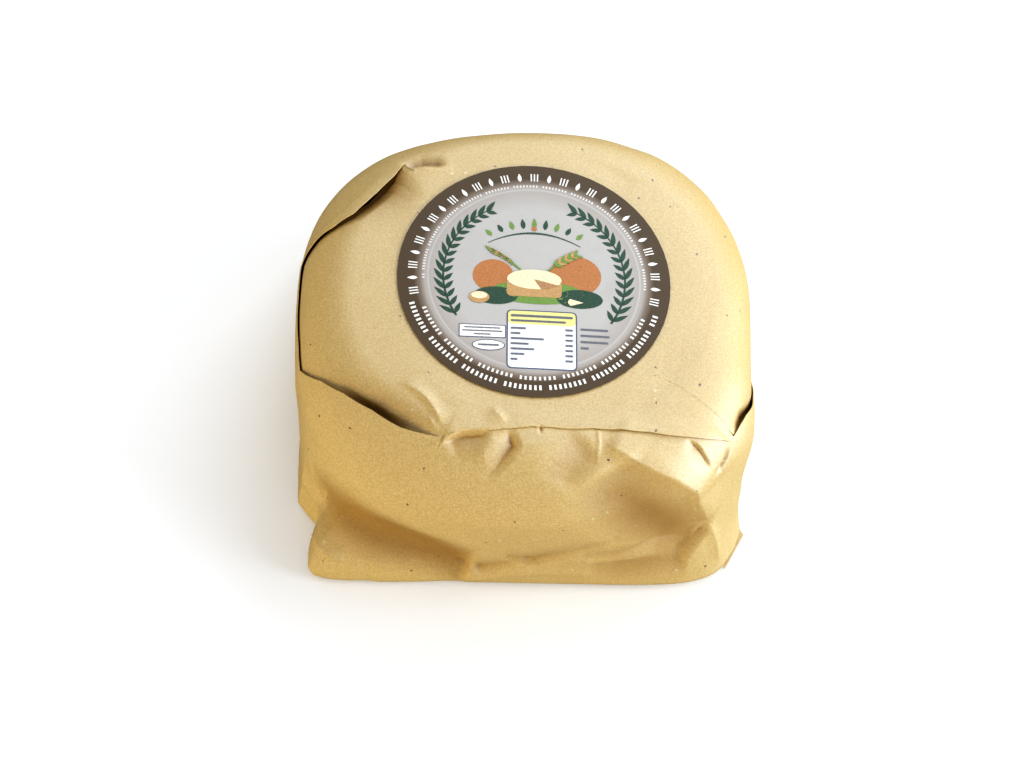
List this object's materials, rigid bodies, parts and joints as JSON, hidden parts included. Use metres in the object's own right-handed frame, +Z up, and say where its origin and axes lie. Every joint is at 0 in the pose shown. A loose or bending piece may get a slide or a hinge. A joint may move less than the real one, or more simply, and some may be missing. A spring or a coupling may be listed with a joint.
{
  "type": "paper-wrapped cheese wheel",
  "caption": "Small round wheel of aged cheese shut in plain straw paper with folded corners, lying flat, with a round printed label on its top.",
  "frame": {"origin": "on the table under the middle of the whole box", "axes": "+Z up through the label, front with the straight paper edge towards -Y"},
  "size_m": [0.1662, 0.1598, 0.0801],
  "materials": {
    "straw_paper": "matte",
    "label_print": "satin"
  },
  "bodies": {
    "root": {"paper_wrap": "straw_paper", "label": "label_print"}
  },
  "joints": []
}
